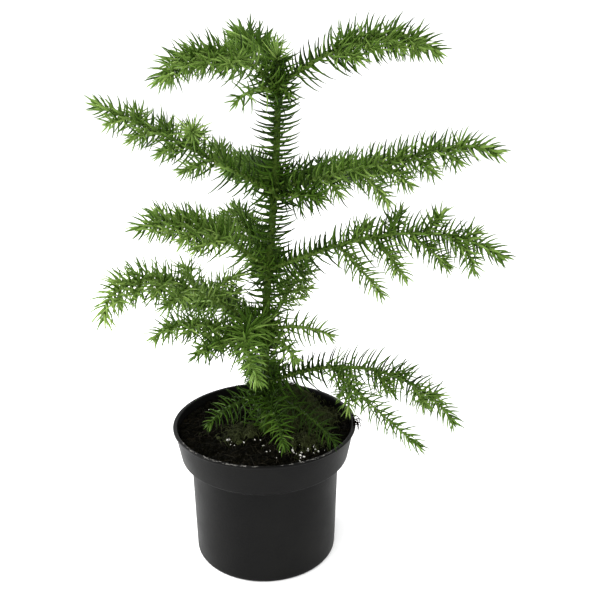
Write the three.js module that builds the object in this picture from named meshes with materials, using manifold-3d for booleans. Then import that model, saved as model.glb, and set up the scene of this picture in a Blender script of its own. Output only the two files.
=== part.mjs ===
// A young Norfolk Island pine in a round black nursery pot: millimetres, +Z up.
// The origin is the centre of the pot's flat underside, and -Y is the side seen in the photograph.
import * as THREE from 'three';
import Module from 'manifold-3d';

const wasm = await Module();
wasm.setup();

// Clear gap between neighbouring solids
const GAP = 0.3;

// Pot: a thin wall, a sloped shoulder where it widens into a collar, and a lip
const POT_HEIGHT = 80;
const POT_WALL = 1.2;
const POT_SEGMENTS = 36;
const POT_FOOT_RADIUS = 41.2;
const POT_FOOT_CHAMFER = 0.8;
const SHOULDER_FOOT_Z = 57.5;
const SHOULDER_RISE = 4;
const SHOULDER_RADIUS = 42.6;
const COLLAR_FOOT_RADIUS = 48.2;
const COLLAR_TOP_RADIUS = 51.5;
const LIP_RADIUS = 52.5;
const LIP_HEIGHT = 1.2;

// Potting soil: a level that fills the pot, a flat seat under the trunk, and low mounds
const SOIL_LEVEL = 76;
const SOIL_EDGE_DROP = 1.6;
const SOIL_SEAT_RADIUS = 8;
const SOIL_RING_RADII = [49, 41, 32, 23, 14];
const SOIL_MOUNDS = [
  { x: 14, y: 25, height: 13, reach: 13 },
  { x: 38, y: 2, height: 3, reach: 14 },
  { x: -22, y: 18, height: 2.5, reach: 12 },
  { x: 18, y: -26, height: 2.5, reach: 12 },
];

// Trunk: its axis leans and sways a little, and its foot flares at the soil
const TRUNK_FOOT_Z = SOIL_LEVEL + GAP;
const TRUNK_TIP_Z = 282;
const TRUNK_FOOT_X = 0.6;
const TRUNK_LEAN_X = 8.6;
const TRUNK_LEAN_Y = 2.2;
const TRUNK_SWAY = 1.5;
const TRUNK_SWAY_PHASE = 0.55;
const TRUNK_FOOT_RADIUS = 2.5;
const TRUNK_TOP_RADIUS = 1.6;
const TRUNK_TIP_RADIUS = 0.7;
const TRUNK_LEADER = 16;
const FLARE_EXTRA = 1.6;
const FLARE_FADE = 7 / 3;

// Heights of the five whorls of boughs
const WHORLS = { top: 267, upper: 217, middle: 171, lower: 134, base: 103 };

// Boughs, each named after its whorl and the way it points as the photograph sees it.
// Lift is the height over the whorl, lengths are in millimetres and angles in degrees. Azimuth
// 0 points along +X, and turn is how far the bough swings from it. The pitch goes from rise to
// droop along the bough, late where curl is high. Roll tips the pairs of twigs sideways, first is
// where they start as a share of the length, left and right are the longest twigs on each side,
// and sag is the pitch that a twig loses along its length.
const BOUGH_COLUMNS = [
  'lift', 'azimuth', 'turn', 'length', 'rise', 'droop', 'curl',
  'roll', 'pairs', 'first', 'left', 'right', 'sag',
];
const BOUGHS = {
  top_right: [0, 5, 0, 92, 34, -41, 2, 15, 4, 0.34, 20, 24, 20],
  top_left: [-2, 200, 0, 73, 51.5, -56.5, 1.2, -10, 4, 0.26, 26, 23, 25],
  top_back: [2, 118, 0, 60, 48, -5, 1, 0, 3, 0.36, 20, 20, 20],
  top_front: [-2, -50, 0, 13, 10, -45, 1, 0, 0, 0, 0, 0, 0],
  top_front_left: [-3, -138, 0, 32, 22, -45, 1, 0, 0, 0, 0, 0, 0],
  upper_left: [-4, 168, 0, 110, 25.5, 16, 4, -20, 4, 0.26, 26, 26, 25],
  upper_right: [-2.5, -5, 0, 120, 14.5, -42, 9, 25, 5, 0.22, 18, 32, 28],
  upper_front_right: [-7.5, -30, 0, 32, 24, -14, 1, 0, 2, 0.52, 9, 9, 20],
  upper_back_right: [3, 45, 0, 92, 2, -14, 1.5, 0, 3, 0.34, 22, 22, 20],
  upper_back_left: [3, 112, 0, 88, 2, -14, 1.5, 0, 3, 0.34, 22, 22, 20],
  middle_left: [0, 190, 0, 80, 40, -30, 2.2, -15, 4, 0.32, 24, 25, 20],
  middle_right: [0, -6, 0, 133, 22, -37, 2.2, 40, 4, 0.3, 22, 36, 32],
  middle_back_left: [2, 112, 0, 65, 30, 8.5, 1, 0, 4, 0.25, 32, 14, 20],
  middle_back: [-4, 94, 0, 72, 2, -10, 1, 0, 3, 0.36, 18, 10, 15],
  lower_left: [3, 185, 45, 112, 33, -120, 4.4, -15, 5, 0.28, 27, 21, 25],
  lower_left_front: [-3, 212, 0, 73, 23, -59, 4.5, 0, 3, 0.38, 17, 17, 20],
  lower_front_left: [-8, 232, 0, 61, 35, -21, 1.3, 0, 3, 0.42, 15, 15, 20],
  lower_front: [3, -128, 80, 64, 33.5, -58.5, 1, 0, 0, 0, 0, 0, 0],
  lower_front_right: [-3, -55, 0, 36, 22, -38, 1, 0, 0, 0, 0, 0, 0],
  lower_right: [1, -15, 0, 42, 25, -25, 1, 0, 0, 0, 0, 0, 0],
  lower_back_right: [0, 40, 0, 52, 54, 42, 1, 0, 4, 0.38, 18, 18, 10],
  lower_back_left: [1, 138, 0, 80, 16, -12, 1.5, 0, 3, 0.4, 26, 26, 20],
  base_right: [0, -12, 0, 122, 28, -60, 1.4, 6, 3, 0.34, 22, 32, 22],
  base_front_right: [-8, -46, 0, 60, 15, -33, 1, 0, 0, 0, 0, 0, 0],
  base_front: [-5, -75, 0, 50, 2, -40, 1.4, 0, 0, 0, 0, 0, 0],
  base_left: [-6, 213, 0, 42, 4, -44, 1.3, 0, 0, 0, 0, 0, 0],
  base_back: [0, 95, 0, 58, 2, -45, 1.5, 0, 2, 0.4, 18, 18, 20],
};

// Limb thickness, from the trunk out to the bough's tip, and twig thickness
const BOUGH_ROOT_RADIUS = 1.3;
const BOUGH_TIP_RADIUS = 0.5;
const TWIG_ROOT_RADIUS = 0.65;
const TWIG_TIP_RADIUS = 0.35;

// Twigs: where the last pair stands, how far they spread, curve forward and shorten to the tip
const LAST_TWIG = 0.8;
const TWIG_STAGGER = 0.45;
const TWIG_SPREAD = 60;
const TWIG_FORWARD_TURN = 30;
const TWIG_SHORTENING = 0.65;
const TWIG_CHANCE = 0.3;
// Twigs that go their own way, by bough, pair and side (-1 or 1)
const OWN_TWIGS = {
  'upper_left 1 -1': { length: 24, spread: 65, roll: -111, sag: 72 },
  'lower_left 0 -1': { length: 18, spread: 124, roll: -85, sag: 10 },
  'lower_left 0 1': { length: 25, spread: 104, roll: 97, sag: 26 },
  'lower_left 1 -1': { length: 23, spread: 67, roll: -48, sag: 40 },
  'upper_right 0 -1': { length: 16, spread: 52, roll: 37, sag: 47 },
  'upper_right 1 -1': { length: 29, spread: 37, roll: 73, sag: 47 },
  'middle_right 1 1': { length: 21, spread: 77, roll: 26, sag: -14 },
  'middle_right 2 -1': { length: 31, spread: 41, roll: 69, sag: 12 },
  'middle_right 3 -1': { length: 28, spread: 23, roll: 31, sag: 70 },
  'middle_right 2 1': { length: 18, spread: 63, roll: 93, sag: 13 },
  'base_right 0 -1': { length: 80, spread: 60, roll: 6, sag: 22 },
  'base_right 0 1': { length: 32, spread: 98, roll: -80, sag: 10 },
};
const MASS_LEAD = 4;

// Needles: their sizes, how far apart their rings stand, and how they lean towards the tip
const NEEDLE_ROOT = 2.2;
const NEEDLE_TIP_SHORTENING = 0.35;
const TRUNK_NEEDLES = { sides: 6, length: 12, spacing: 4.8, lean: 78, bare: 9, tail: 3 };
const BOUGH_NEEDLES = { sides: 4, length: 12.5, spacing: 6.5, lean: 68, bare: 5, tail: 1.5 };
const STEM_NEEDLES = { sides: 3, length: 12.5, spacing: 6.5, lean: 66, bare: 1.5, tail: 3 };
const TWIG_NEEDLES = { sides: 3, length: 9.5, spacing: 8, lean: 58, bare: 4, tail: 3 };

// Colours and surfaces
const LOOKS = {
  pot: { color: 0x2b2b2b, roughness: 0.45, metalness: 0 },
  soil: { color: 0x1d1712, roughness: 0.95, metalness: 0 },
  trunk: { color: 0x5c5a30, roughness: 0.8, metalness: 0 },
  bough: { color: 0x56652c, roughness: 0.75, metalness: 0 },
  foliage: { color: 0x3f7a26, roughness: 0.6, metalness: 0 },
};

// Edges shorter than this are taken out of joined solids
const JOIN_TOLERANCE = 0.05;

const UP = new THREE.Vector3(0, 0, 1);
const WALK_STEPS = 48;
const STRETCH_LENGTH = 5;
const PARALLEL = 1e-9;
const radians = THREE.MathUtils.degToRad;

// A share between 0 and 1 that is always the same for the same seeds
function chance(...seeds) {
  const mixed = seeds.reduce((sum, seed, i) => sum + (seed + 1) * (12.9898 + 65.2431 * i), 0);
  const wide = Math.sin(mixed) * 43758.5453;
  return wide - Math.floor(wide);
}

// Height of the soil's surface over a place in the pot
function soilHeight(x, y) {
  const out = Math.hypot(x, y);
  const edge = THREE.MathUtils.smoothstep(out, SOIL_SEAT_RADIUS, SOIL_RING_RADII[0]);
  const open = THREE.MathUtils.smoothstep(out, SOIL_SEAT_RADIUS, 2 * SOIL_SEAT_RADIUS);
  const rise = SOIL_MOUNDS.reduce((sum, mound) => {
    const away = Math.hypot(x - mound.x, y - mound.y) / mound.reach;
    return sum + mound.height * Math.exp(-away * away);
  }, 0);
  return SOIL_LEVEL - SOIL_EDGE_DROP * edge + rise * open;
}

// A line is a length and a frame at each distance along it: a point, the way ahead, and two across
function frameAt(point, ahead, side) {
  return { point, ahead, side, over: new THREE.Vector3().crossVectors(ahead, side) };
}

// The trunk's axis, from the foot to the tip of the leader
function trunkLine() {
  const length = TRUNK_TIP_Z - TRUNK_FOOT_Z;
  const pointAt = (d) => {
    const t = d / length;
    const sway = Math.sin(2 * Math.PI * (t - TRUNK_SWAY_PHASE)) - Math.sin(-2 * Math.PI * TRUNK_SWAY_PHASE);
    const x = TRUNK_FOOT_X + TRUNK_LEAN_X * t + TRUNK_SWAY * sway;
    return new THREE.Vector3(x, TRUNK_LEAN_Y * t, TRUNK_FOOT_Z + d);
  };
  return { length, at: (d) => frameAt(pointAt(d), UP, new THREE.Vector3(1, 0, 0)) };
}

// A line that sets out at an azimuth and a pitch, and turns and droops as it goes
function walkLine(start, { azimuth, turn, rise, droop, curl, length }) {
  const heading = (share) => {
    const pitch = radians(rise + (droop - rise) * share ** curl);
    const yaw = radians(azimuth + turn * share);
    const ahead = new THREE.Vector3(
      Math.cos(pitch) * Math.cos(yaw),
      Math.cos(pitch) * Math.sin(yaw),
      Math.sin(pitch),
    );
    return { ahead, side: new THREE.Vector3(-Math.sin(yaw), Math.cos(yaw), 0) };
  };
  const points = [start.clone()];
  for (let i = 0; i < WALK_STEPS; i += 1) {
    const { ahead } = heading((i + 0.5) / WALK_STEPS);
    points.push(points[i].clone().addScaledVector(ahead, length / WALK_STEPS));
  }
  const at = (d) => {
    const share = Math.min(d / length, 1);
    const i = Math.min(Math.floor(share * WALK_STEPS), WALK_STEPS - 1);
    const point = points[i].clone().lerp(points[i + 1], share * WALK_STEPS - i);
    const { ahead, side } = heading(share);
    return frameAt(point, ahead, side);
  };
  return { length, at };
}

// A line that leaves another one sideways at a share of its length, curves forward and sags
function sideLine(line, share, side, { length, spread, roll, sag }) {
  const foot = line.at(share * line.length);
  const across = foot.side.clone().multiplyScalar(side * Math.cos(radians(roll)));
  across.addScaledVector(foot.over, side * Math.sin(radians(roll)));
  const way = foot.ahead.clone().multiplyScalar(Math.cos(radians(spread)));
  way.addScaledVector(across, Math.sin(radians(spread)));
  const pitch = THREE.MathUtils.radToDeg(Math.asin(way.z));
  return walkLine(foot.point, {
    azimuth: THREE.MathUtils.radToDeg(Math.atan2(way.y, way.x)),
    turn: -side * TWIG_FORWARD_TURN,
    rise: pitch,
    droop: pitch - sag,
    curl: 1,
    length,
  });
}

// The twigs of a bough: lines that leave it in staggered pairs, shorter towards its tip
function twigLines(line, bough, name, index) {
  const lines = [];
  for (let pair = 0; pair < bough.pairs; pair += 1) {
    for (const side of [-1, 1]) {
      const step = (pair + (side > 0 ? TWIG_STAGGER : 0)) / (bough.pairs - 1 + TWIG_STAGGER);
      const share = bough.first + (LAST_TWIG - bough.first) * step;
      const longest = side > 0 ? bough.left : bough.right;
      const shorter = 1 - TWIG_SHORTENING * (share - bough.first) / (1 - bough.first);
      const uneven = 1 + TWIG_CHANCE * (chance(index, pair, side + 1) - 0.5);
      const length = longest * shorter * uneven;
      const usual = { length, spread: TWIG_SPREAD, roll: bough.roll, sag: bough.sag };
      lines.push(sideLine(line, share, side, OWN_TWIGS[`${name} ${pair} ${side}`] ?? usual));
    }
  }
  return lines;
}

// Shortest distance between two straight stretches, a to b and c to d
function stretchDistance(a, b, c, d) {
  const u = b.clone().sub(a);
  const v = d.clone().sub(c);
  const w = a.clone().sub(c);
  const uu = u.dot(u);
  const vv = v.dot(v);
  const uv = u.dot(v);
  const uw = u.dot(w);
  const vw = v.dot(w);
  const apart = uu * vv - uv * uv;
  const clamp = (value) => THREE.MathUtils.clamp(value, 0, 1);
  let s = apart > PARALLEL ? clamp((uv * vw - vv * uw) / apart) : 0;
  const t = clamp((uv * s + vw) / vv);
  s = clamp((uv * t - uw) / uu);
  return w.addScaledVector(u, s).addScaledVector(v, -t).length();
}

// Round-ended stretches that are already taken, each by the stem that owns it
const taken = [];

function take(stem, { a, b, radius }) {
  taken.push({ stem, a, b, radius, middle: a.clone().lerp(b, 0.5), half: a.distanceTo(b) / 2 });
}

// Whether a stretch stays clear of the pot, the soil and every taken stretch that isn't its own
function isClear({ a, b, radius }, isOwn) {
  const middle = a.clone().lerp(b, 0.5);
  for (const point of [a, middle, b]) {
    const out = Math.hypot(point.x, point.y);
    const rim = out < POT_FOOT_RADIUS ? 0 : POT_HEIGHT;
    const floor = Math.max(rim, soilHeight(point.x, point.y));
    if (out < LIP_RADIUS + radius + GAP && point.z < floor + radius + 2 * GAP) {
      return false;
    }
  }
  const half = a.distanceTo(b) / 2;
  return taken.every((other) => {
    const room = radius + other.radius + GAP;
    if (isOwn(other.stem) || middle.distanceTo(other.middle) > half + other.half + room) {
      return true;
    }
    return stretchDistance(a, b, other.a, other.b) > room;
  });
}

// The straight stretches of a stem between two distances along its line
function stemStretches(stem) {
  const count = Math.max(2, Math.ceil((stem.to - stem.from) / STRETCH_LENGTH));
  const places = Array.from({ length: count + 1 }, (_, i) => stem.from + (stem.to - stem.from) * i / count);
  return places.slice(1).map((d, i) => ({
    a: stem.line.at(places[i]).point,
    b: stem.line.at(d).point,
    radius: stem.radiusAt(places[i]),
  }));
}

// A tapering stem with rings of needles: each needle is a slim spike on one face of the stem.
// The rings are turned by half a face from one to the next, so the needles stand in staggered rows.
function needleStem(stem) {
  const { line, from, to, radiusAt, needles } = stem;
  const { sides } = needles;
  const points = [];
  const faces = [];
  const ring = (d, turns) => {
    const { point, side, over } = line.at(d);
    const first = points.length;
    for (let j = 0; j < sides; j += 1) {
      const angle = (2 * Math.PI * (j + turns / 2)) / sides;
      const corner = point.clone().addScaledVector(side, Math.cos(angle) * radiusAt(d));
      points.push(corner.addScaledVector(over, Math.sin(angle) * radiusAt(d)));
    }
    return first;
  };
  const next = (j) => (j + 1) % sides;
  const band = (low, high) => {
    for (let j = 0; j < sides; j += 1) {
      faces.push([low + j, low + next(j), high + j]);
      faces.push([low + next(j), high + next(j), high + j]);
    }
  };
  const needle = (corners, d) => {
    const { point, ahead } = line.at(d);
    const root = corners.reduce((sum, i) => sum.add(points[i]), new THREE.Vector3()).multiplyScalar(1 / 4);
    const out = root.clone().sub(point);
    out.addScaledVector(ahead, -out.dot(ahead)).normalize();
    const lean = radians(needles.lean);
    const way = ahead.clone().multiplyScalar(Math.cos(lean)).addScaledVector(out, Math.sin(lean));
    const size = needles.length * (1 - NEEDLE_TIP_SHORTENING * ((d - from) / (to - from)) ** 3);
    const tip = root.clone().addScaledVector(way, size);
    const middle = root.clone().lerp(tip, 0.5);
    const halfWidth = radiusAt(d) * Math.sin(Math.PI / sides);
    const halves = [
      { a: root, b: middle, radius: halfWidth },
      { a: middle, b: tip, radius: halfWidth / 2 },
    ];
    if (!halves.every((half) => isClear(half, (other) => other === stem))) {
      faces.push([corners[0], corners[1], corners[2]], [corners[0], corners[2], corners[3]]);
      return;
    }
    halves.forEach((half) => take(stem, half));
    const apex = points.push(tip) - 1;
    corners.forEach((corner, i) => faces.push([corner, corners[(i + 1) % 4], apex]));
  };
  const room = to - from - needles.bare - needles.tail - NEEDLE_ROOT;
  const count = Math.max(0, Math.round(room / needles.spacing));
  let last = ring(from, -1);
  for (let j = 1; j < sides - 1; j += 1) {
    faces.push([last, last + j + 1, last + j]);
  }
  for (let i = 0; i <= count; i += 1) {
    const d = from + needles.bare + (count > 0 ? room * i / count : 0);
    const low = ring(d, i);
    const high = ring(d + NEEDLE_ROOT, i);
    band(last, low);
    for (let j = 0; j < sides; j += 1) {
      needle([low + j, low + next(j), high + next(j), high + j], d + NEEDLE_ROOT / 2);
    }
    last = high;
  }
  if (stem.flatEnd) {
    const end = ring(to, count + 1);
    band(last, end);
    for (let j = 1; j < sides - 1; j += 1) {
      faces.push([end, end + j, end + j + 1]);
    }
  } else {
    const tip = points.push(line.at(to).point) - 1;
    for (let j = 0; j < sides; j += 1) {
      faces.push([last + j, last + next(j), tip]);
    }
  }
  return solidFrom(points, faces);
}

// A closed solid from points and triangles
function solidFrom(points, faces) {
  return new wasm.Manifold(new wasm.Mesh({
    numProp: 3,
    vertProperties: Float32Array.from(points.flatMap((point) => point.toArray())),
    triVerts: Uint32Array.from(faces.flat()),
  }));
}

// A named mesh from a solid, with tiny edges left by joining taken out and only its main body kept
function meshFrom(name, solid, look) {
  const bodies = solid.simplify(JOIN_TOLERANCE).decompose();
  const main = bodies.reduce((best, body) => (body.volume() > best.volume() ? body : best));
  const { vertProperties, triVerts } = main.getMesh();
  const geometry = new THREE.BufferGeometry();
  geometry.setAttribute('position', new THREE.BufferAttribute(vertProperties, 3));
  geometry.setIndex(new THREE.BufferAttribute(triVerts, 1));
  return namedMesh(name, geometry, look);
}

function namedMesh(name, geometry, look) {
  geometry.computeVertexNormals();
  const mesh = new THREE.Mesh(geometry, new THREE.MeshStandardMaterial(look));
  mesh.name = name;
  return mesh;
}

// A turned shape about the +Z axis from a profile of radius and height
function turned(profile, segments) {
  const geometry = new THREE.LatheGeometry(profile.map(([r, z]) => new THREE.Vector2(r, z)), segments);
  return geometry.rotateX(Math.PI / 2);
}

function makePot() {
  const inner = (radius) => radius - POT_WALL;
  const collarFoot = SHOULDER_FOOT_Z + SHOULDER_RISE;
  const lipFoot = POT_HEIGHT - LIP_HEIGHT;
  return namedMesh('pot', turned([
    [0, 0],
    [POT_FOOT_RADIUS - POT_FOOT_CHAMFER, 0],
    [POT_FOOT_RADIUS, POT_FOOT_CHAMFER],
    [SHOULDER_RADIUS, SHOULDER_FOOT_Z],
    [COLLAR_FOOT_RADIUS, collarFoot],
    [COLLAR_TOP_RADIUS, lipFoot],
    [LIP_RADIUS, lipFoot],
    [LIP_RADIUS, POT_HEIGHT],
    [inner(COLLAR_TOP_RADIUS), POT_HEIGHT],
    [inner(COLLAR_FOOT_RADIUS), collarFoot + POT_WALL],
    [inner(SHOULDER_RADIUS), SHOULDER_FOOT_Z + POT_WALL],
    [inner(POT_FOOT_RADIUS), POT_WALL],
    [0, POT_WALL],
  ], POT_SEGMENTS), LOOKS.pot);
}

function makeSoil() {
  const inside = (radius) => radius - POT_WALL - GAP;
  const shoulder = SHOULDER_FOOT_Z + POT_WALL + GAP;
  const rings = SOIL_RING_RADII.map((radius) => [radius, SOIL_LEVEL]);
  const geometry = turned([
    [0, POT_WALL + GAP],
    [inside(POT_FOOT_RADIUS), POT_WALL + GAP],
    [inside(SHOULDER_RADIUS), shoulder],
    [inside(COLLAR_FOOT_RADIUS), shoulder + SHOULDER_RISE],
    ...rings,
    [SOIL_SEAT_RADIUS, SOIL_LEVEL],
    [0, SOIL_LEVEL],
  ], POT_SEGMENTS);
  const places = geometry.getAttribute('position');
  for (let i = 0; i < places.count; i += 1) {
    if (places.getZ(i) > SOIL_LEVEL - GAP) {
      places.setZ(i, soilHeight(places.getX(i), places.getY(i)));
    }
  }
  return namedMesh('soil', geometry, LOOKS.soil);
}

// Trunk radius at a distance up from its foot: flare, taper, then the leader's tip
function trunkRadius(d) {
  const stretch = TRUNK_TIP_Z - TRUNK_FOOT_Z - TRUNK_LEADER;
  const taper = THREE.MathUtils.lerp(TRUNK_FOOT_RADIUS, TRUNK_TOP_RADIUS, Math.min(d / stretch, 1));
  const leader = THREE.MathUtils.clamp((d - stretch) / TRUNK_LEADER, 0, 1);
  const flare = FLARE_EXTRA * Math.exp(-d / FLARE_FADE);
  return THREE.MathUtils.lerp(taper, TRUNK_TIP_RADIUS, leader) + flare;
}

// Where a bough's square end clears the trunk, as a distance along a bough of that pitch
function boughStart(radius, pitch) {
  return (radius + GAP + BOUGH_ROOT_RADIUS * Math.sin(Math.abs(pitch))) / Math.cos(pitch);
}

// Stems of the whole tree, by node: the trunk, then each bough's limb and its mass of foliage
function planStems() {
  const trunk = trunkLine();
  const plan = new Map();
  plan.set('trunk', {
    look: LOOKS.trunk,
    stems: [{ line: trunk, from: 0, to: trunk.length, radiusAt: trunkRadius, needles: TRUNK_NEEDLES }],
  });
  Object.entries(BOUGHS).forEach(([name, values], index) => {
    const bough = Object.fromEntries(BOUGH_COLUMNS.map((column, i) => [column, values[i]]));
    const height = WHORLS[name.split('_')[0]] + bough.lift;
    const foot = trunk.at(height - TRUNK_FOOT_Z).point;
    const line = walkLine(foot, bough);
    const start = boughStart(trunkRadius(height - TRUNK_FOOT_Z), radians(bough.rise));
    const radiusAt = (d) => THREE.MathUtils.lerp(BOUGH_ROOT_RADIUS, BOUGH_TIP_RADIUS, d / line.length);
    const split = bough.pairs > 0 ? bough.first * line.length - MASS_LEAD : start;
    if (bough.pairs > 0) {
      const limb = { line, from: start, to: split - GAP, radiusAt, needles: BOUGH_NEEDLES, flatEnd: true };
      plan.set(`bough_${name}`, { look: LOOKS.bough, stems: [limb] });
    }
    const twigs = twigLines(line, bough, name, index).map((twig) => ({
      line: twig,
      from: 0,
      to: twig.length,
      radiusAt: (d) => THREE.MathUtils.lerp(TWIG_ROOT_RADIUS, TWIG_TIP_RADIUS, d / twig.length),
      needles: TWIG_NEEDLES,
    }));
    const stem = { line, from: split, to: line.length, radiusAt, needles: STEM_NEEDLES };
    plan.set(`foliage_${name}`, { look: LOOKS.foliage, stems: [stem, ...twigs] });
  });
  return plan;
}

// The planned nodes, with the twigs that would touch another node's stems left out
function growNodes(plan) {
  for (const { stems } of plan.values()) {
    stemStretches(stems[0]).forEach((stretch) => take(stems[0], stretch));
  }
  for (const entry of plan.values()) {
    const [stem, ...twigs] = entry.stems;
    const kept = twigs.filter((twig) => {
      const stretches = stemStretches(twig);
      const clear = stretches.every((stretch) => isClear(stretch, (other) => entry.stems.includes(other)));
      if (clear) {
        stretches.forEach((stretch) => take(twig, stretch));
      }
      return clear;
    });
    entry.stems = [stem, ...kept];
  }
  return [...plan].map(([name, { look, stems }]) => (
    meshFrom(name, wasm.Manifold.union(stems.map(needleStem)), look)
  ));
}

const plant = new THREE.Group();
plant.add(makePot(), makeSoil(), ...growNodes(planStems()));

export default plant;
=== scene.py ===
import math
from dataclasses import dataclass
from functools import cache

import bpy
import numpy as np
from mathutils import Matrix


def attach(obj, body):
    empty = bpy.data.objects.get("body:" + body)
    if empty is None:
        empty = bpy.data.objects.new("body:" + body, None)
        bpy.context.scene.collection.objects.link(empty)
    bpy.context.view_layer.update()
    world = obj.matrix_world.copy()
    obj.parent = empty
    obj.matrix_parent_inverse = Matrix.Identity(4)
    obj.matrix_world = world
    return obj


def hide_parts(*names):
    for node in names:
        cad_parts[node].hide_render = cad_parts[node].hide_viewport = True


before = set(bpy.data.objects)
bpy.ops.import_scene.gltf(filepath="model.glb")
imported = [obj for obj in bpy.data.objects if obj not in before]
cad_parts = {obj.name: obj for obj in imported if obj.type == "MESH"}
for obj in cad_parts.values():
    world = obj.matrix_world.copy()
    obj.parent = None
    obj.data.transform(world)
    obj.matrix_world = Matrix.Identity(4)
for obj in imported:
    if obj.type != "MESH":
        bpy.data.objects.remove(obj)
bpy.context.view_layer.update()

# A young Norfolk Island pine in a black nursery pot. Shapes are worked out in millimetres and put into
# their meshes in metres. +Z is up, the origin is the centre of the pot's underside, -Y faces the camera.
MM = 0.001
UP = np.array([0.0, 0.0, 1.0])
TURN = 2 * math.pi
GOLDEN_SHARE = (3 - math.sqrt(5)) / 2

# Weights that turn seeds, or the cells of a pattern, into chances
CHANCE_SCALE = 43758.5453
SEED_WEIGHT = 12.9898
SEED_WEIGHT_STEP = 65.2431
CELL_WEIGHTS = (127.1, 311.7, 74.7)

# Pot
POT_HEIGHT = 80
POT_WALL = 1.2
POT_SEGMENTS = 180
POT_FOOT_RADIUS = 41.2
SHOULDER_FOOT_Z = 57.5
SHOULDER_RISE = 4
SHOULDER_RADIUS = 42.6
COLLAR_FOOT_RADIUS = 48.2
COLLAR_TOP_RADIUS = 51.5
LIP_RADIUS = 52.5
LIP_HEIGHT = 1.2
FOOT_ROUNDING = 2.2
SHOULDER_ROUNDING = 0.35
EDGE_ROUNDING = 0.55
ROUNDING_STEPS = 5
PROFILE_STEP = 4
PROFILE_SUPPORT = 0.4

# Soil: level, fall towards the wall, flat seat under the trunk, and mounds as x, y, height, reach
SOIL_LEVEL = 76
SOIL_EDGE_DROP = 1.6
SOIL_SEAT_RADIUS = 8
SOIL_EDGE_RADIUS = 49
SOIL_MOUNDS = ((14, 25, 13, 13), (38, 2, 3, 14), (-22, 18, 2.5, 12), (18, -26, 2.5, 12))
SOIL_DEPTH = 5
SOIL_RINGS = 130
SOIL_COLUMNS = 300
SOIL_OCTAVES = ((9, 0.9), (4, 0.8), (1.7, 0.55), (0.8, 0.25))

# Trunk
TRUNK_FOOT_Z = 76.3
TRUNK_TIP_Z = 282
TRUNK_FOOT_X = 0.6
TRUNK_LEAN_X = 8.6
TRUNK_LEAN_Y = 2.2
TRUNK_SWAY = 1.5
TRUNK_SWAY_PHASE = 0.55
TRUNK_FOOT_RADIUS = 2.5
TRUNK_TOP_RADIUS = 1.6
TRUNK_TIP_RADIUS = 0.7
TRUNK_LEADER = 16
FLARE_EXTRA = 1.6
FLARE_FADE = 7 / 3
TRUNK_BURIED = 2.5

# Heights of the five whorls of boughs
WHORLS = {"top": 267, "upper": 217, "middle": 171, "lower": 134, "base": 103}

# Boughs, by whorl and the way they point. Lift is the height over the whorl, lengths are in millimetres
# and angles in degrees. The pitch goes from rise to droop along the bough, late where curl is high. Roll
# tips the pairs of twigs sideways, first is where they start as a share of the length, left and right are
# the longest twigs on each side, and sag is the pitch that a twig loses along its length.
BOUGH_COLUMNS = (
    "lift", "azimuth", "turn", "length", "rise", "droop", "curl",
    "roll", "pairs", "first", "left", "right", "sag",
)
BOUGHS = {
    "top_right": (0, 5, 0, 92, 34, -41, 2, 15, 4, 0.34, 20, 24, 20),
    "top_left": (-2, 200, 0, 73, 51.5, -56.5, 1.2, -10, 4, 0.26, 26, 23, 25),
    "top_back": (2, 118, 0, 60, 48, -5, 1, 0, 3, 0.36, 20, 20, 20),
    "top_front": (-2, -50, 0, 13, 10, -45, 1, 0, 0, 0, 0, 0, 0),
    "top_front_left": (-3, -138, 0, 32, 22, -45, 1, 0, 0, 0, 0, 0, 0),
    "upper_left": (-4, 168, 0, 110, 25.5, 16, 4, -20, 4, 0.26, 26, 26, 25),
    "upper_right": (-2.5, -5, 0, 120, 14.5, -42, 9, 25, 5, 0.22, 18, 32, 28),
    "upper_front_right": (-7.5, -30, 0, 32, 24, -14, 1, 0, 2, 0.52, 9, 9, 20),
    "upper_back_right": (3, 45, 0, 92, 2, -14, 1.5, 0, 3, 0.34, 22, 22, 20),
    "upper_back_left": (3, 112, 0, 88, 2, -14, 1.5, 0, 3, 0.34, 22, 22, 20),
    "middle_left": (0, 190, 0, 80, 40, -30, 2.2, -15, 4, 0.32, 24, 25, 20),
    "middle_right": (0, -6, 0, 133, 22, -37, 2.2, 40, 4, 0.3, 22, 36, 32),
    "middle_back_left": (2, 112, 0, 65, 30, 8.5, 1, 0, 4, 0.25, 32, 14, 20),
    "middle_back": (-4, 94, 0, 72, 2, -10, 1, 0, 3, 0.36, 18, 10, 15),
    "lower_left": (3, 185, 45, 112, 33, -120, 4.4, -15, 5, 0.28, 27, 21, 25),
    "lower_left_front": (-3, 212, 0, 73, 23, -59, 4.5, 0, 3, 0.38, 17, 17, 20),
    "lower_front_left": (-8, 232, 0, 61, 35, -21, 1.3, 0, 3, 0.42, 15, 15, 20),
    "lower_front": (3, -128, 80, 64, 33.5, -58.5, 1, 0, 0, 0, 0, 0, 0),
    "lower_front_right": (-3, -55, 0, 36, 22, -38, 1, 0, 0, 0, 0, 0, 0),
    "lower_right": (1, -15, 0, 42, 25, -25, 1, 0, 0, 0, 0, 0, 0),
    "lower_back_right": (0, 40, 0, 52, 54, 42, 1, 0, 4, 0.38, 18, 18, 10),
    "lower_back_left": (1, 138, 0, 80, 16, -12, 1.5, 0, 3, 0.4, 26, 26, 20),
    "base_right": (0, -12, 0, 122, 28, -60, 1.4, 6, 3, 0.34, 22, 32, 22),
    "base_front_right": (-8, -46, 0, 60, 15, -33, 1, 0, 0, 0, 0, 0, 0),
    "base_front": (-5, -75, 0, 50, 2, -40, 1.4, 0, 0, 0, 0, 0, 0),
    "base_left": (-6, 213, 0, 42, 4, -44, 1.3, 0, 0, 0, 0, 0, 0),
    "base_back": (0, 95, 0, 58, 2, -45, 1.5, 0, 2, 0.4, 18, 18, 20),
}
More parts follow.
